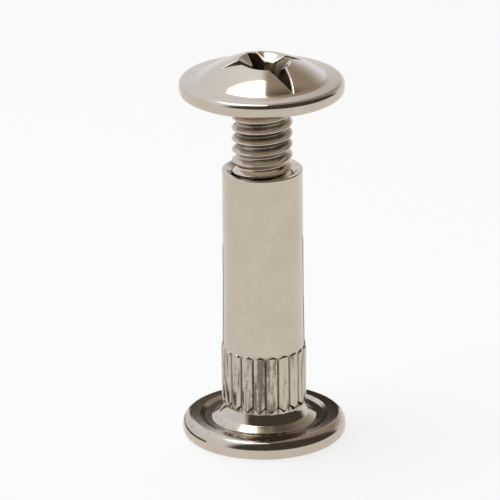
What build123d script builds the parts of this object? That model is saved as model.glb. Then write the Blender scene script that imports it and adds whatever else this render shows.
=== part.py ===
"""Binding barrel screw: a flanged barrel nut with a fluted neck, and the domed screw that runs into it.

Millimetres, +Z up. The pair stands on the barrel nut's flange, with the screw part-way in.
The origin is the centre of the flange's outer face, and both pieces share the Z axis.
"""

import os
from math import cos, radians, sin, tan

from build123d import *

# Thread: one right-hand groove winds up the shank. The bore is plain, just wider than the thread, and
# the travel is counted in whole turns, so the real pair's threads stay in mesh at both ends of it.
thread_d = 5.9
thread_root_d = 4.64
thread_pitch = 1.1
thread_crest_w = 0.14
thread_root_w = 0.2
thread_start_z = 20.625
thread_turns = 11.4
bore_d = 6.0
turns_showing = 7

# Barrel nut
barrel_h = 27.4
flange_d = 16.0
flange_t = 1.95
flange_edge_r = 0.65
dish_d = 12.6
dish_depth = 0.2
dish_slope_w = 0.5
collar_d = 9.2
collar_shoulder_d = 8.9
collar_shoulder_z = 2.35
neck_core_d = 7.8
neck_core_z = 3.1
sleeve_neck_d = 7.98
sleeve_d = 7.84
sleeve_flare_z = 14.5
mouth_edge_r = 0.18
mouth_countersink_d = 7.1
bore_depth = 20.0
drill_point_angle = 118.0

# Ribs of the fluted neck: upright rods with a round top and a pointed foot, sunk into the core
rib_count = 20
rib_phase = 11.3
rib_crest_d = 8.3
rib_r = 0.85
rib_foot_z = 3.15
rib_foot_h = 0.7
rib_shoulder_z = 8.75

# Screw
screw_len_under_head = 13.5
head_d = 16.0
head_rim_t = 1.4
head_edge_r = 0.5
dome_d = 12.4
dome_h = 2.2
brim_rise = 0.12
dome_root_r = 0.8
seat_cone_d = 6.8
seat_cone_h = 0.5
root_neck_d = 5.5
root_neck_h = 1.5
tip_flat_d = 4.4
tip_chamfer_h = 0.8
tip_dimple_d = 2.6
tip_dimple_depth = 0.25

# Cross recess: two pointed pockets crossed in a star, each wide and long at the mouth and closing on a
# short, narrow floor, with a countersunk well where they meet. It sits a little off the head's centre.
recess_angle = 31.0
recess_centre = (0.25, -0.2)
pocket_mouth_rise = 0.5
pocket_mouth_half = (11.9, 1.465)
pocket_floor_depth = 2.9
pocket_floor_half = (3.0, 0.55)
well_mouth_r = 3.4
well_mouth_rise = 0.23
well_neck_r = 1.5
well_neck_depth = 0.935
well_floor_r = 1.15
well_point_depth = 3.3

# Places worked out from the sizes above
head_under_z = barrel_h + turns_showing * thread_pitch
brim_z = head_under_z + head_rim_t
dome_foot_z = brim_z + brim_rise
apex_z = dome_foot_z + dome_h
tip_z = head_under_z - screw_len_under_head
bore_floor_z = barrel_h - bore_depth
bore_point_z = bore_floor_z - bore_d / 2 / tan(radians(drill_point_angle / 2))
rib_centre_r = rib_crest_d / 2 - rib_r
rib_foot_r = rib_r - rib_foot_h / 2
countersink_h = (mouth_countersink_d - bore_d) / 2
groove_depth = (thread_d - thread_root_d) / 2
groove_flank = (thread_pitch - thread_crest_w - thread_root_w) / 2 / groove_depth
groove_reach = 0.06
groove_mouth_half = (thread_pitch - thread_crest_w) / 2 + groove_flank * groove_reach


# One rib of the fluted neck, about its own axis
with BuildPart() as rib:
    with BuildSketch(Plane.XZ):
        with BuildLine():
            rod_side = Polyline(
                (0, rib_foot_z),
                (rib_foot_r, rib_foot_z),
                (rib_r, rib_foot_z + rib_foot_h),
                (rib_r, rib_shoulder_z),
            )
            round_top = RadiusArc(rod_side @ 1, (0, rib_shoulder_z + rib_r), -rib_r)
            Line(round_top @ 1, rod_side @ 0)
        make_face()
    revolve(axis=Axis.Z)


# Barrel nut: flange, dished seat, collar, fluted neck and a sleeve that flares into the neck, in one
# piece, bored blind
with BuildPart() as barrel_nut:
    with BuildSketch(Plane.XZ) as barrel_section:
        with BuildLine():
            Polyline(
                (0, 0),
                (flange_d / 2, 0),
                (flange_d / 2, flange_t),
                (dish_d / 2, flange_t),
                (dish_d / 2 - dish_slope_w, flange_t - dish_depth),
                (collar_d / 2, flange_t - dish_depth),
                (collar_shoulder_d / 2, collar_shoulder_z),
                (neck_core_d / 2, neck_core_z),
                (neck_core_d / 2, rib_shoulder_z),
                (sleeve_neck_d / 2, rib_shoulder_z),
                (sleeve_d / 2, sleeve_flare_z),
                (sleeve_d / 2, barrel_h),
                (0, barrel_h),
                close=True,
            )
        make_face()
        flange_corners = barrel_section.vertices().group_by(Axis.X)[-1]
        fillet(flange_corners, flange_edge_r)
        mouth_corner = barrel_section.vertices().group_by(Axis.Y)[-1].sort_by(Axis.X)[-1]
        fillet(mouth_corner, mouth_edge_r)
    revolve(axis=Axis.Z)

    with PolarLocations(rib_centre_r, rib_count, start_angle=rib_phase):
        add(rib.part)

    with BuildSketch(Plane.XZ):
        with BuildLine():
            Polyline(
                (0, bore_point_z),
                (bore_d / 2, bore_floor_z),
                (bore_d / 2, barrel_h - countersink_h),
                (mouth_countersink_d / 2, barrel_h),
                (0, barrel_h),
                close=True,
            )
        make_face()
    revolve(axis=Axis.Z, mode=Mode.SUBTRACT)


# The thread's groove, wound from below the tip up to the relieved neck
with BuildPart() as thread_groove:
    with BuildLine():
        thread_path = Helix(
            pitch=thread_pitch,
            height=thread_turns * thread_pitch,
            radius=thread_d / 2,
            center=(0, 0, thread_start_z),
        )
    with BuildSketch(Plane.XZ):
        with BuildLine():
            Polyline(
                (thread_root_d / 2, thread_start_z - thread_root_w / 2),
                (thread_d / 2 + groove_reach, thread_start_z - groove_mouth_half),
                (thread_d / 2 + groove_reach, thread_start_z + groove_mouth_half),
                (thread_root_d / 2, thread_start_z + thread_root_w / 2),
                close=True,
            )
        make_face()
    sweep(path=thread_path, is_frenet=True)


# Screw: domed head with a round-edged brim, a seating cone and a relieved neck under it, and the
# shank with a chamfered, dimpled tip
with BuildPart() as screw:
    with BuildSketch(Plane.XZ) as screw_section:
        with BuildLine():
            underside = Polyline(
                (0, tip_z + tip_dimple_depth),
                (tip_dimple_d / 2, tip_z),
                (tip_flat_d / 2, tip_z),
                (thread_d / 2, tip_z + tip_chamfer_h),
                (thread_d / 2, head_under_z - root_neck_h),
                (root_neck_d / 2, head_under_z - root_neck_h + (thread_d - root_neck_d) / 2),
                (root_neck_d / 2, head_under_z - seat_cone_h),
                (seat_cone_d / 2, head_under_z),
                (head_d / 2, head_under_z),
                (head_d / 2, brim_z),
                (dome_d / 2, dome_foot_z),
            )
            dome_rise = (dome_d**2 / 4 + dome_h**2) / (2 * dome_h)
            dome = RadiusArc(underside @ 1, (0, apex_z), -dome_rise)
            Line(dome @ 1, underside @ 0)
        make_face()
        rim_corners = screw_section.vertices().group_by(Axis.X)[-1]
        fillet(rim_corners, head_edge_r)
        dome_foot = screw_section.vertices().sort_by_distance((dome_d / 2, dome_foot_z))[0]
        fillet(dome_foot, dome_root_r)
    revolve(axis=Axis.Z)

    add(thread_groove.part, mode=Mode.SUBTRACT)

    for arm_angle in (recess_angle, recess_angle + 90):
        along_arm = (cos(radians(arm_angle)), sin(radians(arm_angle)), 0)
        pocket_plane = Plane(origin=(*recess_centre, apex_z), x_dir=along_arm, z_dir=(0, 0, 1))
        for rise, (half_len, half_w) in (
            (pocket_mouth_rise, pocket_mouth_half),
            (-pocket_floor_depth, pocket_floor_half),
        ):
            with BuildSketch(pocket_plane.offset(rise)):
                with BuildLine():
                    Polyline((half_len, 0), (0, half_w), (-half_len, 0), (0, -half_w), close=True)
                make_face()
        loft(ruled=True, mode=Mode.SUBTRACT)

    with BuildSketch(Plane(origin=(*recess_centre, 0), x_dir=(1, 0, 0), z_dir=(0, -1, 0))):
        with BuildLine():
            Polyline(
                (0, apex_z - well_point_depth),
                (well_floor_r, apex_z - pocket_floor_depth),
                (well_neck_r, apex_z - well_neck_depth),
                (well_mouth_r, apex_z + well_mouth_rise),
                (0, apex_z + well_mouth_rise),
                close=True,
            )
        make_face()
    revolve(axis=Axis((*recess_centre, 0), (0, 0, 1)), mode=Mode.SUBTRACT)


barrel_nut.part.label = "barrel_nut"
screw.part.label = "screw"

os.makedirs("parts", exist_ok=True)
export_step(barrel_nut.part, "parts/barrel_nut.step")
export_step(screw.part, "parts/screw.step")
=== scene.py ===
"""Looks of the binding barrel screw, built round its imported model.

Metres, +Z up from the flange's outer face to the head. The barrel nut stands on its flange and
the screw is part-way in, seven turns short of the barrel's mouth.
"""

import math

import bmesh
import bpy
from mathutils import Matrix, Vector


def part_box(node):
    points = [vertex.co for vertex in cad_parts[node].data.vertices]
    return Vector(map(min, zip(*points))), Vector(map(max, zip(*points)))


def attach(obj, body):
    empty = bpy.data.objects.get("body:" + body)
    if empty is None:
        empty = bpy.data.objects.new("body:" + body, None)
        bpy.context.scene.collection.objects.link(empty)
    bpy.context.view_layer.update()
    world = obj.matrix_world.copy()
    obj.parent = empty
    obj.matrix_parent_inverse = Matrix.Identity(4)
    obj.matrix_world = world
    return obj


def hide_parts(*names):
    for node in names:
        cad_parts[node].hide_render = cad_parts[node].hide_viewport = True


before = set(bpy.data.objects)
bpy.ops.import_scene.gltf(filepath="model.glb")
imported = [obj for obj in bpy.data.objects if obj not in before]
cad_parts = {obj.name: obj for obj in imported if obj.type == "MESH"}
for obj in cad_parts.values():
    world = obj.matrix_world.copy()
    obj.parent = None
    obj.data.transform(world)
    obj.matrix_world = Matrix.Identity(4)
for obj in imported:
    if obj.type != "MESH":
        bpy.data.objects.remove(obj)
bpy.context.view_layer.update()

mm = 0.001


# Barrel nut: one piece of steel, cold-headed, turned and nickel plated. The flange is dished round
# a low collar, the neck is rolled with upright ribs that bite the hole, and the plain sleeve above
# them runs up to the mouth. It is bored and tapped from the mouth.
barrel_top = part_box("barrel_nut")[1]
flange_r = barrel_top.x
flange_t = 1.95 * mm
flange_low_round = 0.65 * mm
flange_top_round = 0.95 * mm
dish_r = 6.3 * mm
dish_lip_round = 0.1 * mm
dish_floor_r = 5.8 * mm
dish_floor_z = 1.75 * mm
dish_floor_round = 0.3 * mm
collar_r = 5.15 * mm
collar_shoulder_r = 4.4 * mm
collar_shoulder_z = 2.27 * mm
collar_top_r = 3.92 * mm
collar_round = 0.25 * mm
neck_core_r = 3.9 * mm
neck_core_z = 3.1 * mm
neck_end_z = 10.2 * mm
sleeve_neck_r = 3.99 * mm
sleeve_r = 3.92 * mm
sleeve_flare_z = 14.5 * mm
sleeve_middle_z = 20.0 * mm
barrel_h = barrel_top.z
mouth_round = 0.12 * mm
countersink_r = 3.55 * mm
countersink_z = 26.85 * mm
countersink_round = 0.06 * mm

# Ribs of the neck: flat-topped, arched at the top and pointed at the foot, with narrow valleys
rib_count = 20
rib_turn = math.radians(11.3)
rib_crest_r = 4.15 * mm
rib_valley_depth = 0.23 * mm
rib_flatness = 3.5
rib_foot_point_z = 3.3 * mm
rib_foot_rise = 0.55 * mm
rib_foot_slope = 0.2 * mm
rib_top_z = 8.72 * mm
rib_arch_h = 0.55 * mm
rib_round = 0.2 * mm
rib_end_steps = 4
rib_rings = (0.02, 0.25, 0.5, 0.75, 0.98)
band_rings = (0.08, 0.4, 0.7)
steps_per_rib = 12

# Bore: drilled blind, then tapped. Its thread stands half a pitch off the screw's, so that its ridges
# lie in the screw's grooves, and it runs out below the mouth and above the drilled end.
bore_r = 3.0 * mm
bore_top_z = 25.6 * mm
bore_top_run_out = 0.5 * mm
bore_ridge_r = 2.57 * mm
bore_turns = 16
bore_lines_per_pitch = 12
tap_end_z = 11.4 * mm
tap_run_out = 1.1 * mm
drill_r = 2.6 * mm
drill_floor_z = 7.4 * mm
drill_point_z = 5.9 * mm
thread_pitch = 1.1 * mm
thread_start_z = 20.632 * mm
bore_thread_start_z = thread_start_z - 9.5 * thread_pitch

# Mesh: points nearer than merge_gap are one. A narrow flat, the hold, keeps each rounding's shading
# to itself, and edges sharper than crease_angle stay crisp.
merge_gap = 0.0005 * mm
hold_share = 0.15
hold_most = 0.03 * mm
crease_angle = math.radians(32)


def turned_profile(corners, steps=5):
    """Points (r, z) along a turned outline through corners (r, z, radius), rounded to that radius."""
    points = []
    for i, (r, z, radius) in enumerate(corners):
        here = Vector((r, z))
        if not radius:
            points.append(here)
            continue
        before = (Vector(corners[i - 1][:2]) - here).normalized()
        after = (Vector(corners[i + 1][:2]) - here).normalized()
        half = before.angle(after) / 2
        start = here + before * radius / math.tan(half)
        end = here + after * radius / math.tan(half)
        centre = here + (before + after).normalized() * radius / math.sin(half)
        sweep = (start - centre).angle(end - centre)
        hold = min(radius * hold_share, hold_most)
        points.append(start + before * hold)
        for k in range(steps + 1):
            t = k / steps
            arm = (start - centre) * math.sin((1 - t) * sweep) + (end - centre) * math.sin(t * sweep)
            points.append(centre + arm / math.sin(sweep))
        points.append(end + after * hold)
    return points


def neck_line(across):
    """Points (r, z) up the neck: across is -1 and 1 in the valleys beside a rib, and 0 on its crest."""
    off = abs(across)
    rib_r = rib_crest_r - rib_valley_depth * off**rib_flatness
    foot_z = rib_foot_point_z + rib_foot_rise * off
    top_z = rib_top_z + rib_arch_h * math.sqrt(max(1 - off**2, 0))
    points = [(neck_core_r, (neck_core_z + foot_z) / 2), (neck_core_r, foot_z)]
    for k in range(1, rib_end_steps + 1):
        t = k / rib_end_steps
        rise = (rib_r - neck_core_r) * math.sin(t * math.pi / 2)
        points.append((neck_core_r + rise, foot_z + rib_foot_slope * t))
    low, high = foot_z + rib_foot_slope, top_z - rib_round
    points += [(rib_r, low + (high - low) * t) for t in rib_rings]
    for k in range(rib_end_steps + 1):
        turn = k / rib_end_steps * math.pi / 2
        proud = (rib_r - sleeve_neck_r) * math.cos(turn)
        points.append((sleeve_neck_r + proud, high + rib_round * math.sin(turn)))
    return points + [(sleeve_neck_r, top_z + (neck_end_z - top_z) * t) for t in band_rings]


flange_profile = turned_profile(
    [
        (0, 0, 0),
        (flange_r, 0, flange_low_round),
        (flange_r, flange_t, flange_top_round),
        (dish_r, flange_t, dish_lip_round),
        (dish_floor_r, dish_floor_z, dish_floor_round),
        (collar_r, dish_floor_z, collar_round),
        (collar_shoulder_r, collar_shoulder_z, collar_round),
        (collar_top_r, neck_core_z, 0),
    ]
)
mouth_profile = turned_profile(
    [
        (sleeve_neck_r, neck_end_z, 0),
        (sleeve_r, sleeve_flare_z, 0),
        (sleeve_r, sleeve_middle_z, 0),
        (sleeve_r, barrel_h, mouth_round),
        (countersink_r, barrel_h, countersink_round),
        (bore_r, countersink_z, 0),
        (bore_r, bore_top_z, 0),
    ]
)

# One rib's wedge of the barrel, from the middle of the flange's outer face up and over into the bore
wedge = bmesh.new()
lines = []
for k in range(steps_per_rib + 1):
    even = k / steps_per_rib * 2 - 1
    across = math.sin(even * math.pi / 2)
    line = [(r, z, even) for r, z in flange_profile]
    line += [(r, z, across) for r, z in neck_line(across)]
    line += [(r, z, even) for r, z in mouth_profile]
    at = [(r, z, place * math.pi / rib_count) for r, z, place in line]
    lines.append([wedge.verts.new((r * math.cos(a), r * math.sin(a), z)) for r, z, a in at])
for left, right in zip(lines, lines[1:]):
    for k in range(len(left) - 1):
        wedge.faces.new((left[k], right[k], right[k + 1], left[k + 1]))
bmesh.ops.remove_doubles(wedge, verts=wedge.verts, dist=merge_gap)
wedge_mesh = bpy.data.meshes.new("barrel_wedge")
wedge.to_mesh(wedge_mesh)
wedge.free()


class Wire:
    """A socket in a node tree. Python's arithmetic on it adds Math nodes, and make() any other node."""

    def __init__(self, tree, socket=None):
        self.tree, self.socket = tree, socket

    def make(self, kind, settings, inputs, output=0):
        node = self.tree.nodes.new(kind)
        for name, value in settings.items():
            setattr(node, name, value)
        for name, value in inputs.items():
            if isinstance(value, Wire):
                self.tree.links.new(value.socket, node.inputs[name])
            else:
                node.inputs[name].default_value = value
        return Wire(self.tree, node.outputs[output] if len(node.outputs) else None)

    def other(self, name):
        return Wire(self.tree, self.socket.node.outputs[name])

    def maths(self, operation, *values):
        return self.make("ShaderNodeMath", {"operation": operation}, dict(enumerate((self, *values))))

    def __add__(self, value):
        return self.maths("ADD", value)

    def __sub__(self, value):
        return self.maths("SUBTRACT", value)

    def __rsub__(self, value):
        return self.make("ShaderNodeMath", {"operation": "SUBTRACT"}, {0: value, 1: self})

    def __mul__(self, value):
        return self.maths("MULTIPLY", value)

    def __truediv__(self, value):
        return self.maths("DIVIDE", value)

    __radd__, __rmul__ = __add__, __mul__


def placed(name, data):
    """A new object with this data, in the scene."""
    made = bpy.data.objects.new(name, data)
    bpy.context.scene.collection.objects.link(made)
    return made


def geometry_tree(name, inputs):
    """A Geometry Nodes tree with these named inputs: the tree, and one Wire for each input by name."""
    tree = bpy.data.node_groups.new(name, "GeometryNodeTree")
    tree.interface.new_socket("Geometry", in_out="OUTPUT", socket_type="NodeSocketGeometry")
    for label, kind in inputs.items():
        tree.interface.new_socket(label, in_out="INPUT", socket_type="NodeSocket" + kind)
    source = tree.nodes.new("NodeGroupInput")
    return tree, {label: Wire(tree, source.outputs[label]) for label in inputs}


def finish_tree(geometry, material):
    """Ends a Geometry Nodes tree: real faces in place of instances, in this material."""
    real = geometry.make("GeometryNodeRealizeInstances", {}, {"Geometry": geometry})
    dressed = real.make("GeometryNodeSetMaterial", {}, {"Geometry": real, "Material": material})
    sink = geometry.tree.nodes.new("NodeGroupOutput")
    geometry.tree.links.new(dressed.socket, sink.inputs["Geometry"])


def grown_mesh(name, mesh, tree, values):
    """The plain mesh that a Geometry Nodes tree makes from a mesh and these input values."""
    carrier = placed(name, mesh)
    modifier = carrier.modifiers.new(name, "NODES")
    modifier.node_group = tree
    for item in tree.interface.items_tree:
        if item.in_out == "INPUT" and item.name in values:
            modifier[item.identifier] = values[item.name]
    depsgraph = bpy.context.evaluated_depsgraph_get()
    grown = bpy.data.meshes.new_from_object(carrier.evaluated_get(depsgraph))
    bpy.data.objects.remove(carrier)
    return grown


def cleared_tree(owner):
    """Gives a material or a world an empty node tree: a Wire to start it from."""
    owner.use_nodes = True
    owner.node_tree.nodes.clear()
    return Wire(owner.node_tree)


def smooth_step(value, low, high):
    """A Wire that rises softly from 0 to 1 as this one goes from low to high."""
    inputs = {"Value": value, "From Min": low, "From Max": high, "To Min": 0.0, "To Max": 1.0}
    return value.make("ShaderNodeMapRange", {"interpolation_type": "SMOOTHSTEP"}, inputs)


def soft_band(value, rise, fall):
    """A Wire that is 1 between a soft rise and a soft fall, each a pair of values, and 0 outside."""
    return smooth_step(value, *rise) * (1 - smooth_step(value, *fall))


def noise(place, scale, detail, roughness=0.5):
    """A Wire of cloudy values, most of them near 0.5, over these coordinates."""
    inputs = {"Vector": place, "Scale": scale, "Detail": detail, "Roughness": roughness}
    return place.make("ShaderNodeTexNoise", {}, inputs)


def blended(factor, first, second):
    """A Wire of colour that goes from the first to the second as the factor goes from 0 to 1."""
    return factor.make("ShaderNodeMix", {"data_type": "RGBA"}, {0: factor, 6: first, 7: second}, 2)


# Nickel plate: warm and bright, faintly mottled, and brown and dull where there is dirt and where shade
# is painted in
nickel_light = (0.585, 0.51, 0.415, 1)
nickel_deep = (0.545, 0.474, 0.384, 1)
nickel_clouds = 260.0
cloud_edge = (0.35, 0.65)
nickel_grains = 2600.0
clean_grain = 0.2
nickel_roughness = 0.07
cloud_roughness = 0.05
dirt_and_shade_colour = (0.1, 0.072, 0.05, 1)
dirt_and_shade_cover = 0.85
dirt_and_shade_roughness = 0.35
bump_strength = 0.1
bump_height = 0.03 * mm


def plated(name, dirt_and_shade_of):
    """Nickel plate, browned, dulled and roughened where the given mask of dirt and painted shade, a
    function of (x, y, z, place), is near 1.
    """
    plate = bpy.data.materials.new(name)
    start = cleared_tree(plate)
    place = start.make("ShaderNodeTexCoord", {}, {}, "Object")
    x = start.make("ShaderNodeSeparateXYZ", {}, {"Vector": place})
    dirt_and_shade = dirt_and_shade_of(x, x.other("Y"), x.other("Z"), place)
    cloud = noise(place, nickel_clouds, detail=4.0, roughness=0.6)
    colour = blended(smooth_step(cloud, *cloud_edge), nickel_light, nickel_deep)
    # The plate browns where there is dirt and where shade is painted in
    colour = blended(dirt_and_shade * dirt_and_shade_cover, colour, dirt_and_shade_colour)
    grain = noise(place, nickel_grains, detail=3.0)
    height = grain * (dirt_and_shade * (1 - clean_grain) + clean_grain) + cloud
    bump = {"Strength": bump_strength, "Distance": bump_height, "Height": height}
    surface = {
        "Base Color": colour,
        "Metallic": 1.0,
        "Roughness": dirt_and_shade * dirt_and_shade_roughness + cloud * cloud_roughness + nickel_roughness,
        "Normal": start.make("ShaderNodeBump", {}, bump),
    }
    shader = start.make("ShaderNodeBsdfPrincipled", {}, surface)
    start.make("ShaderNodeOutputMaterial", {}, {"Surface": shader})
    return plate


# Dirt and painted shade on the barrel: painted shade in the neck's valleys, a painted dark reflection
# in a band down the neck, and dirt in streaks, blots and scuffs; the spans over which each comes and
# goes, and how strong it gets
neck_dirt_and_shade_foot = (2.9 * mm, 3.5 * mm)
neck_dirt_and_shade_top = (8.9 * mm, 9.4 * mm)
# Painted shade in the neck's valleys: where it sets in across a rib's width, and how dark it gets
valley_shade_edge = (0.36, 0.47)
valley_painted_shade = 0.75
streak_scales = (2400, 2400, 200)
streak_share = 1.4
blot_scale = 1500.0
blot_share = 0.5
# A painted dark reflection in a band down the neck's front and back: where it lies, how wide, how much
# it adds
painted_reflection_x = -0.5 * mm
painted_reflection_half_w = (0.2 * mm, 2.4 * mm)
painted_reflection_extra = 0.2
dirt_and_reflection_edge = (0.96, 1.22)
dirt_and_reflection_share = 0.85
flange_grime_foot = (1.2 * mm, 1.7 * mm)
flange_grime_top = (2.0 * mm, 2.3 * mm)
scuff_edge = (0.52, 0.66)
scuff_grime = 0.3
flange_film = 0.1


def barrel_dirt_and_shade(x, y, z, place):
    """Painted shade in the neck's valleys and a painted dark band down its front and back, dirt in
    streaks and blots on its ribs, and scuffs on the flange.
    """
    ribs_round = (y.maths("ARCTAN2", x) - rib_turn) * (rib_count / (2 * math.pi))
    # Painted shade: the narrow valleys between the ribs are darkened
    valley = smooth_step(ribs_round.maths("PINGPONG", 0.5), *valley_shade_edge) * valley_painted_shade
    upright = x.make("ShaderNodeMapping", {}, {"Vector": place, "Scale": streak_scales})
    streaks = noise(upright, 1.0, detail=4.0, roughness=0.65)
    blots = noise(place, blot_scale, detail=5.0, roughness=0.7)
    # Painted reflection: a dark band down the neck's front and back, added to the streaks and blots of
    # dirt
    painted_reflection_band = 1 - smooth_step((x - painted_reflection_x).maths("ABSOLUTE"), *painted_reflection_half_w)
    dirt_and_reflection_level = streaks * streak_share + blots * blot_share + painted_reflection_band * painted_reflection_extra
    dirt_and_painted_reflection = smooth_step(dirt_and_reflection_level, *dirt_and_reflection_edge) * dirt_and_reflection_share
    on_neck = soft_band(z, neck_dirt_and_shade_foot, neck_dirt_and_shade_top) * valley.maths("MAXIMUM", dirt_and_painted_reflection)
    scuffs = smooth_step(blots, *scuff_edge) * scuff_grime + flange_film
    on_flange = soft_band(z, flange_grime_foot, flange_grime_top) * scuffs
    return on_neck.maths("MAXIMUM", on_flange)


barrel_nickel = plated("nickel_barrel", barrel_dirt_and_shade)

# The ring of ribs: one wedge turned round the axis for each rib, and merged at its edges
ring_tree, given = geometry_tree(
    "ring_of_ribs",
    {"Geometry": "Geometry", "Ribs": "Int", "Turn": "Float", "Merge": "Float", "Plate": "Material"},
)
seats = given["Ribs"].make("GeometryNodePoints", {}, {"Count": given["Ribs"]})
turn = given["Turn"] + seats.make("GeometryNodeInputIndex", {}, {}) * (2 * math.pi) / given["Ribs"]
facing = turn.make("ShaderNodeCombineXYZ", {}, {"Z": turn})
wedges = {"Points": seats, "Instance": given["Geometry"], "Rotation": facing}
ring = seats.make("GeometryNodeInstanceOnPoints", {}, wedges)
ring = ring.make("GeometryNodeRealizeInstances", {}, {"Geometry": ring})
ring = ring.make("GeometryNodeMergeByDistance", {}, {"Geometry": ring, "Distance": given["Merge"]})
finish_tree(ring, given["Plate"])
barrel_skin = grown_mesh(
    "barrel_skin",
    wedge_mesh,
    ring_tree,
    {"Ribs": rib_count, "Turn": rib_turn, "Merge": merge_gap, "Plate": barrel_nickel},
)

# A thread: a strip as wide as one pitch, wound up the axis and shaped across into ridge and groove.
# The ridge's flat and its flank are shares of half a pitch, and the flank is softened at both ends.
ridge_flat = 0.125
flank_w = 0.69
ridge_softness = 0.16
groove_softness = 0.3

thread_tree, given = geometry_tree(
    "screw_thread",
    {
        "Pitch": "Float",
        "Turns": "Int",
        "Steps per turn": "Int",
        "Lines per pitch": "Int",
        "Turn": "Float",
        "Start": "Float",
        "Bottom": "Float",
        "Top": "Float",
        "Ridge radius": "Float",
        "Groove radius": "Float",
        "Bottom radius": "Float",
        "Top radius": "Float",
        "Bottom run-out": "Float",
        "Top run-out": "Float",
        "Plate": "Material",
    },
)
strip = given["Turns"].make(
    "GeometryNodeMeshGrid",
    {},
    {
        "Size X": 1.0,
        "Size Y": 1.0,
        "Vertices X": given["Turns"] * given["Steps per turn"] + 1,
        "Vertices Y": given["Lines per pitch"] + 1,
    },
)
flat_spot = strip.make("GeometryNodeInputPosition", {}, {})
along = strip.make("ShaderNodeSeparateXYZ", {}, {"Vector": flat_spot})
turns_up = (along + 0.5) * given["Turns"]
across_pitch = along.other("Y")
height = (turns_up + (across_pitch + 0.5)) * given["Pitch"] + given["Start"]
height = height.maths("MAXIMUM", given["Bottom"]).maths("MINIMUM", given["Top"])
down_flank = (across_pitch.maths("ABSOLUTE") * 2 - ridge_flat) / flank_w
down_flank = down_flank.maths("SMOOTH_MAX", 0.0, ridge_softness)
down_flank = down_flank.maths("SMOOTH_MIN", 1.0, groove_softness)
radius = given["Ridge radius"] + (given["Groove radius"] - given["Ridge radius"]) * down_flank
for end, sign in (("Bottom", 1), ("Top", -1)):
    inward = ((height - given[end]) * sign / given[end + " run-out"]).maths("MINIMUM", 1.0)
    radius = given[end + " radius"] + (radius - given[end + " radius"]) * inward
angle = turns_up * (2 * math.pi) + given["Turn"]
spot = radius.make(
    "ShaderNodeCombineXYZ",
    {},
    {"X": radius * angle.maths("COSINE"), "Y": radius * angle.maths("SINE"), "Z": height},
)
thread = strip.make("GeometryNodeSetPosition", {}, {"Geometry": strip, "Position": spot})
finish_tree(thread, given["Plate"])

first_line = rib_turn - math.pi / rib_count
bore_thread = grown_mesh(
    "bore_thread",
    bpy.data.meshes.new("bore_thread"),
    thread_tree,
    {
        "Pitch": thread_pitch,
        "Turns": bore_turns,
        "Steps per turn": steps_per_rib * rib_count,
        "Lines per pitch": bore_lines_per_pitch,
        "Turn": first_line,
        "Start": bore_thread_start_z,
        "Bottom": tap_end_z,
        "Top": bore_top_z,
        "Ridge radius": bore_ridge_r,
        "Groove radius": bore_r,
        "Bottom radius": drill_r,
        "Top radius": bore_r,
        "Bottom run-out": tap_run_out,
        "Top run-out": bore_top_run_out,
        "Plate": barrel_nickel,
    },
)


def turned_skin(mesh, points, steps, first_angle):
    """Adds the skin that points (r, z) make when turned in this many steps to a bmesh: its rings."""
    rings = []
    for r, z in points:
        angles = [first_angle + k / steps * 2 * math.pi for k in range(steps if r else 1)]
        rings.append([mesh.verts.new((r * math.cos(a), r * math.sin(a), z)) for a in angles])
    for low, high in zip(rings, rings[1:]):
        for k in range(steps):
            low_side = [low[k % len(low)], low[(k + 1) % len(low)]]
            high_side = [high[(k + 1) % len(high)], high[k % len(high)]]
            mesh.faces.new(list(dict.fromkeys(low_side + high_side)))
    return rings


def closed_piece(name, mesh, material):
    """Merges a bmesh's seams, points its faces outwards and makes it an object in this material."""
    bmesh.ops.remove_doubles(mesh, verts=mesh.verts, dist=merge_gap)
    bmesh.ops.dissolve_degenerate(mesh, edges=mesh.edges, dist=merge_gap / 10)
    bmesh.ops.recalc_face_normals(mesh, faces=mesh.faces)
    for face in mesh.faces:
        face.smooth = True
        face.material_index = 0
    for edge in mesh.edges:
        edge.smooth = edge.calc_face_angle(0) < crease_angle
    data = bpy.data.meshes.new(name)
    mesh.to_mesh(data)
    mesh.free()
    data.materials.append(material)
    return placed(name, data)


barrel_mesh = bmesh.new()
barrel_mesh.from_mesh(barrel_skin)
barrel_mesh.from_mesh(bore_thread)
drilled_end = [(drill_r, tap_end_z), (drill_r, drill_floor_z), (0, drill_point_z)]
turned_skin(barrel_mesh, drilled_end, steps_per_rib * rib_count, first_line)
barrel = closed_piece("barrel_nut_plated", barrel_mesh, barrel_nickel)
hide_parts("barrel_nut")
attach(barrel, "barrel")


# Screw: one piece of steel, its domed head cold-formed with a flat brim and a cross recess, its
# shank rolled with the thread and chamfered at the tip, then nickel plated with the barrel nut.
screw_bottom, screw_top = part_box("screw")
tip_z = screw_bottom.z
tip_flat_r = 2.2 * mm
tip_dimple_r = 1.3 * mm
tip_dimple_depth = 0.25 * mm
shank_ridge_r = 2.95 * mm
shank_groove_r = 2.44 * mm
shank_run_out = 0.8 * mm
shank_thread_start_z = thread_start_z - (1 + first_line / (2 * math.pi)) * thread_pitch
shank_turns = 14
shank_lines_per_pitch = 24
shank_steps = 120
head_under_z = tip_z + 13.5 * mm
neck_low_z = head_under_z - 1.1 * mm
neck_r = 2.75 * mm
neck_round = 0.2 * mm
seat_cone_r = 3.4 * mm
seat_cone_h = 0.5 * mm
seat_cone_round = 0.1 * mm
head_r = screw_top.x
rim_round = 0.5 * mm
rim_end_r = 5.0 * mm
under_band_r = 4.6 * mm
brim_z = head_under_z + 1.4 * mm
brim_flat_r = 7.2 * mm
dome_foot_r = 6.2 * mm
dome_foot_z = brim_z + 0.12 * mm
dome_foot_round = 0.8 * mm
dome_foot_run = 0.4 * mm
dome_foot_climb = 0.316 * mm
dome_h = 2.2 * mm
dome_steps = 34
apex_z = dome_foot_z + dome_h
dome_curve = (dome_foot_r**2 + dome_h**2) / (2 * dome_h)

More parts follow.
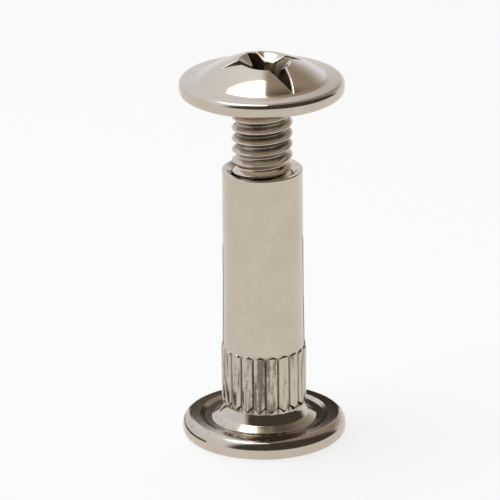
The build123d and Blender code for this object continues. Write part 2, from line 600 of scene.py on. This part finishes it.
# Recess: two pointed pockets crossed over a round well, off the head's centre. Depths are from the
# dome's top. The arms are struck unevenly: each has its own length at the mouth and its own lean.
recess_turn = math.radians(31)
recess_centre = Vector((0.45, -0.65)) * mm
arm_halves = (4.6 * mm, 4.6 * mm, 4.9 * mm, 11.9 * mm)
arm_leans = (0, 0, math.radians(-23), math.radians(-2))
pocket_mouth_depth = -0.5 * mm
pocket_mouth_half_w = 1.465 * mm
pocket_floor_depth = 2.9 * mm
pocket_floor_half_len = 3.0 * mm
pocket_floor_half_w = 0.55 * mm
well_floor_r = 1.15 * mm
well_point_depth = 3.3 * mm
well_wall = [(-0.23 * mm, 3.4 * mm), (0.935 * mm, 1.5 * mm), (pocket_floor_depth, well_floor_r)]
recess_lip = 0.12 * mm
recess_lip_most = 0.3 * mm
lip_search_steps = 40
lip_steps = 5
wall_steps = 18
wall_crowding = 1.6

# The head's lines, which run outwards from the recess, crowd along each arm's edge to keep it crisp
arm_cuts = 24
cut_first, cut_last = 5.5 * mm, 2.1 * mm
cut_len = 5.62 * mm
cut_half_w = 1.22 * mm
cut_bend = 0.85
gap_steps = 7


def between(points, place):
    """The second number of these pairs at a place along their first, straight from pair to pair."""
    for (x0, y0), (x1, y1) in zip(points, points[1:]):
        if place <= x1:
            return y0 + (y1 - y0) * (place - x0) / (x1 - x0)
    return points[-1][1]


head_edge = turned_profile(
    [
        (dome_foot_r - dome_foot_run, dome_foot_z + dome_foot_climb, 0),
        (dome_foot_r, dome_foot_z, dome_foot_round),
        (head_r, brim_z, rim_round),
        (head_r, head_under_z, rim_round),
        (rim_end_r, head_under_z, 0),
    ],
    steps=12,
)
dome_end_r = head_edge[1][0]
brim_line = [point for point in head_edge if point[0] >= dome_end_r]
rim_line = head_edge[next(i for i, point in enumerate(head_edge) if point[0] > brim_flat_r) :]


def head_top(r):
    """Height of the dome and the brim at this distance from the head's centre."""
    if r < dome_end_r:
        return apex_z - dome_curve + math.sqrt(dome_curve**2 - r**2)
    return between(brim_line, r)


def recess_reach(mouth_half_len, off_arm, depth):
    """How far the recess reaches from its centre, at this angle off its arm's line and this deep."""
    share = (depth - pocket_mouth_depth) / (pocket_floor_depth - pocket_mouth_depth)
    half_len = mouth_half_len + (pocket_floor_half_len - mouth_half_len) * share
    half_w = pocket_mouth_half_w + (pocket_floor_half_w - pocket_mouth_half_w) * share
    arm = half_w / (math.sin(off_arm) + half_w * math.cos(off_arm) / half_len)
    return max(arm, between(well_wall, depth))


off_arms = [0]
for k in range(arm_cuts):
    out = cut_first + (cut_last - cut_first) * k / (arm_cuts - 1)
    off_arms.append(math.atan2(cut_half_w * (1 - out / cut_len) ** cut_bend, out))
gap_start, gap = off_arms[-1], math.pi / 4 - off_arms[-1]
off_arms += [gap_start + gap * k / gap_steps for k in range(1, gap_steps)]
quarter = off_arms + [math.pi / 4] + [math.pi / 2 - a for a in reversed(off_arms[1:])]
head_turns = [a + quarter_turn * math.pi / 2 for quarter_turn in range(4) for a in quarter]


def head_line(turn):
    """Points of the head from the well's point out over the recess's wall, the dome and the rim."""
    off_arm = abs((turn + math.pi / 4) % (math.pi / 2) - math.pi / 4)
    arm = round(turn / (math.pi / 2)) % 4
    bearing = turn + recess_turn + arm_leans[arm] * (1 - (off_arm / (math.pi / 4)) ** 2)
    facing = Vector((math.cos(bearing), math.sin(bearing)))

    def reach(depth, nudge=0):
        return recess_reach(arm_halves[arm], off_arm + nudge, depth)

    def wall_spot(depth):
        return recess_centre + facing * reach(depth)

    low, high = 0, pocket_floor_depth
    for _ in range(lip_search_steps):
        lip_depth = (low + high) / 2
        if apex_z - head_top(wall_spot(lip_depth).length) > lip_depth:
            low = lip_depth
        else:
            high = lip_depth
    lip = wall_spot(lip_depth)
    nudge = 0.01
    reach_change = (reach(lip_depth, nudge) - reach(lip_depth, -nudge)) / (2 * nudge)
    slant = math.hypot(reach_change, reach(lip_depth)) / reach(lip_depth)
    outer = lip + facing * min(recess_lip * slant, recess_lip_most)

    well_floor_edge = recess_centre + facing * well_floor_r
    points = [
        Vector((*recess_centre, apex_z - well_point_depth)),
        Vector((*well_floor_edge, apex_z - pocket_floor_depth)),
    ]
    wall_top = lip_depth + recess_lip
    for k in range(wall_steps + 1):
        depth = wall_top + (pocket_floor_depth - wall_top) * (1 - k / wall_steps) ** wall_crowding
        points.append(Vector((*wall_spot(depth), apex_z - depth)))
    low_lip = points[-1]
    edge = Vector((*lip, apex_z - lip_depth))
    high_lip = Vector((*outer, head_top(outer.length)))
    for k in range(1, lip_steps):
        t = k / lip_steps
        points.append(low_lip * (1 - t) ** 2 + edge * (2 * t * (1 - t)) + high_lip * t**2)
    for k in range(dome_steps + 1):
        at = outer.lerp(facing * brim_flat_r, k / dome_steps)
        points.append(Vector((*at, head_top(at.length))))
    return points + [Vector((*(facing * r), z)) for r, z in rim_line]


def zip_rings(mesh, ring, other):
    """Fills the flat band between two rings of vertices round the axis that are spaced differently."""

    def bearing(vertex):
        return math.atan2(vertex.co.y, vertex.co.x) % (2 * math.pi)

    def unwound(points, k):
        return bearing(points[k % len(points)]) + 2 * math.pi * (k // len(points))

    ring, other = sorted(ring, key=bearing), sorted(other, key=bearing)
    i = j = 0
    while i < len(ring) or j < len(other):
        here, there = ring[i % len(ring)], other[j % len(other)]
        if j == len(other) or i < len(ring) and unwound(ring, i + 1) <= unwound(other, j + 1):
            i += 1
            mesh.faces.new((here, ring[i % len(ring)], there))
        else:
            j += 1
            mesh.faces.new((here, other[j % len(other)], there))


screw_mesh = bmesh.new()
head_lines = [[screw_mesh.verts.new(point) for point in head_line(turn)] for turn in head_turns]
for left, right in zip(head_lines, head_lines[1:] + head_lines[:1]):
    for k in range(len(left) - 1):
        screw_mesh.faces.new((left[k], right[k], right[k + 1], left[k + 1]))
under_head = turned_profile(
    [
        (under_band_r, head_under_z, 0),
        (seat_cone_r, head_under_z, seat_cone_round),
        (neck_r, head_under_z - seat_cone_h, neck_round),
        (neck_r, neck_low_z, 0),
    ],
    steps=6,
)
under_rings = turned_skin(screw_mesh, under_head, shank_steps, 0)
zip_rings(screw_mesh, [line[-1] for line in head_lines], under_rings[0])

# Painted shade in the recess and the thread's groove, with blots of dirt in the groove: the spans
# over which it comes and goes, and how strong it gets
recess_shade_depth = (0.25 * mm, 1.3 * mm)
recess_shade_z = (head_under_z + 0.3 * mm, head_under_z + 0.8 * mm)
recess_shade_end = ((5.6 * mm) ** 2, (6.0 * mm) ** 2)
recess_painted_shade = 0.5
# Painted shade down in the thread's groove, with blots of dirt over it: where it lies and how strong it
# gets
groove_dirt_and_shade_r = (shank_groove_r + 0.1 * mm, shank_ridge_r - 0.03 * mm)
groove_dirt_and_shade_low = (27.5 * mm, 30.5 * mm)
groove_dirt_and_shade_high = (32.8 * mm, 33.9 * mm)
groove_high_loss = 0.8
groove_blot_scale = 700.0
groove_blot_edge = (0.35, 0.6)
groove_blot_grime = 0.45
groove_painted_shade = 0.5


def screw_dirt_and_shade(x, y, z, place):
    """Painted shade in the recess, and painted shade with blots of dirt down in the thread's groove,
    where it thins out at the top.
    """
    off_axis_squared = x * x + y * y
    high = z - (apex_z - dome_curve)
    inside = dome_curve - (off_axis_squared + high * high).maths("SQRT")
    # Painted shade deep in the recess, below the dome's surface
    in_recess = smooth_step(inside, *recess_shade_depth) * smooth_step(z, *recess_shade_z)
    in_recess = in_recess * (1 - smooth_step(off_axis_squared, *recess_shade_end))
    # Painted shade down in the thread's groove, with blots of dirt over it
    in_groove = 1 - smooth_step(off_axis_squared.maths("SQRT"), *groove_dirt_and_shade_r)
    in_groove = in_groove * (1 - smooth_step(z, *groove_dirt_and_shade_high) * groove_high_loss)
    in_groove = in_groove * smooth_step(z, *groove_dirt_and_shade_low)
    blots = smooth_step(noise(place, groove_blot_scale, detail=4.0), *groove_blot_edge)
    in_groove = in_groove * (blots * groove_blot_grime + groove_painted_shade)
    return (in_recess * recess_painted_shade).maths("MAXIMUM", in_groove)


screw_nickel = plated("nickel_screw", screw_dirt_and_shade)
shank_thread = grown_mesh(
    "shank_thread",
    bpy.data.meshes.new("shank_thread"),
    thread_tree,
    {
        "Pitch": thread_pitch,
        "Turns": shank_turns,
        "Steps per turn": shank_steps,
        "Lines per pitch": shank_lines_per_pitch,
        "Turn": 0.0,
        "Start": shank_thread_start_z,
        "Bottom": tip_z,
        "Top": neck_low_z,
        "Ridge radius": shank_ridge_r,
        "Groove radius": shank_groove_r,
        "Bottom radius": tip_flat_r,
        "Top radius": neck_r,
        "Bottom run-out": shank_run_out,
        "Top run-out": shank_run_out,
        "Plate": screw_nickel,
    },
)
screw_mesh.from_mesh(shank_thread)
tip_face = [(tip_flat_r, tip_z), (tip_dimple_r, tip_z), (0, tip_z + tip_dimple_depth)]
turned_skin(screw_mesh, tip_face, shank_steps, 0)
screw = closed_piece("screw_plated", screw_mesh, screw_nickel)
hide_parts("screw")
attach(screw, "screw")


# Studio floor and cards: a white floor, which mirrors see as white too, and three low, dark cards
# close behind and beside the flange, which only mirrors see.
floor_half = 3.0
paper_tone = (0.9, 0.9, 0.9, 1)
paper_white = (1, 1, 1, 1)
paper_glow = 1.07
paper_glow_share = 0.75
card_colour = (1, 0.82, 0.64, 1)

floor_mesh = bpy.data.meshes.new("floor")
floor_corners = [(x * floor_half, y * floor_half, 0) for x, y in ((-1, -1), (1, -1), (1, 1), (-1, 1))]
floor_mesh.from_pydata(floor_corners, [], [(0, 1, 2, 3)])
paper = bpy.data.materials.new("floor_paper")
start = cleared_tree(paper)
ray = start.make("ShaderNodeLightPath", {}, {}, "Is Camera Ray")
seen = (ray + ray.other("Is Glossy Ray") + ray.other("Is Transmission Ray")).maths("MINIMUM", 1.0)
matt = start.make("ShaderNodeBsdfDiffuse", {}, {"Color": paper_tone})
white = start.make("ShaderNodeEmission", {}, {"Color": paper_white, "Strength": paper_glow})
sheet = start.make("ShaderNodeMixShader", {}, {0: seen * paper_glow_share, 1: matt, 2: white})
start.make("ShaderNodeOutputMaterial", {}, {"Surface": sheet})
floor_mesh.materials.append(paper)
placed("floor", floor_mesh)

for name, first, last, top, level in (
    ("card_left", (-12, 20), (-1, 20), 11.8, 0.12),
    ("card_right", (-1, 20), (12, 20), 12.6, 0.05),
    ("card_low", (-12, -6), (-14, 20), 1.5, 0.12),
):
    corners = [Vector((*at, z)) * mm for at, z in ((first, 0), (last, 0), (last, top), (first, top))]
    card_mesh = bpy.data.meshes.new(name)
    card_mesh.from_pydata(corners, [], [(0, 1, 2, 3)])
    board = bpy.data.materials.new(name)
    start = cleared_tree(board)
    dim = start.make("ShaderNodeEmission", {}, {"Color": card_colour, "Strength": level})
    start.make("ShaderNodeOutputMaterial", {}, {"Surface": dim})
    card_mesh.materials.append(board)
    card = placed(name, card_mesh)
    card.visible_camera = card.visible_shadow = card.visible_diffuse = False


# Studio light: a soft box overhead, pale walls behind and to the left, and a dark room in front and
# to the right for the plate to mirror. The wall brightens upwards, and dims and warms at the right.
box_light = bpy.data.lights.new("soft_box", "AREA")
box_light.shape = "RECTANGLE"
box_light.size = 135 * mm
box_light.size_y = 105 * mm
box_light.energy = 0.13
soft_box = placed("soft_box", box_light)
soft_box.location = Vector((-56, 14, 251)) * mm

room_bearing = math.radians(-55)
room_edge = (-0.1, 0.25)
room_colour = (1, 0.86, 0.76, 1)
room_level = 0.085
wall_colour = (0.94, 0.98, 1.08, 1)
warm_wall_colour = (1, 0.84, 0.7, 1)
lit_up = (0.3, 0.8)
lit_gain = 0.16
dim_up = (0.1, 0.68)
dim_across = (-0.02, 0.1)
dim_loss = 0.72
dim_warmth = 1.3

world = bpy.data.worlds.new("studio")
bpy.context.scene.world = world
start = cleared_tree(world)
way = start.make("ShaderNodeTexCoord", {}, {}, "Generated")
across = start.make("ShaderNodeSeparateXYZ", {}, {"Vector": way})
back, up = across.other("Y"), across.other("Z")
to_room = across * math.cos(room_bearing) + back * math.sin(room_bearing)
lit_high = smooth_step(up, *lit_up) * lit_gain
dim_right = smooth_step(up, *dim_up) * smooth_step(across, *dim_across) * dim_loss
wall_tone = blended(dim_right * dim_warmth, wall_colour, warm_wall_colour)
wall_light = {"Color": wall_tone, "Strength": lit_high - dim_right + 1.0}
wall = start.make("ShaderNodeBackground", {}, wall_light)
room = start.make("ShaderNodeBackground", {}, {"Color": room_colour, "Strength": room_level})
air = start.make("ShaderNodeMixShader", {}, {0: smooth_step(to_room, *room_edge), 1: wall, 2: room})
start.make("ShaderNodeOutputWorld", {}, {"Surface": air})
bpy.context.scene.view_settings.view_transform = "Standard"


# Camera: a long lens a long way off, so that the pair stands nearly without perspective, looking
# down at the flange and a touch rolled.
camera_elevation = math.radians(20.5)
camera_distance = 520 * mm
camera_roll = math.radians(0.48)
look_at = Vector((-1.256, 0, 18.965)) * mm
camera_data = bpy.data.cameras.new("camera")
camera_data.lens = 385.5
camera_data.sensor_width = 36
camera_data.clip_start = 10 * mm
camera_data.clip_end = 20
camera = placed("camera", camera_data)
to_camera = Vector((0, -math.cos(camera_elevation), math.sin(camera_elevation)))
camera.location = look_at + to_camera * camera_distance
looking = (-to_camera).to_track_quat("-Z", "Y").to_matrix()
camera.rotation_euler = (looking @ Matrix.Rotation(-camera_roll, 3, "Z")).to_euler()
bpy.context.scene.camera = camera
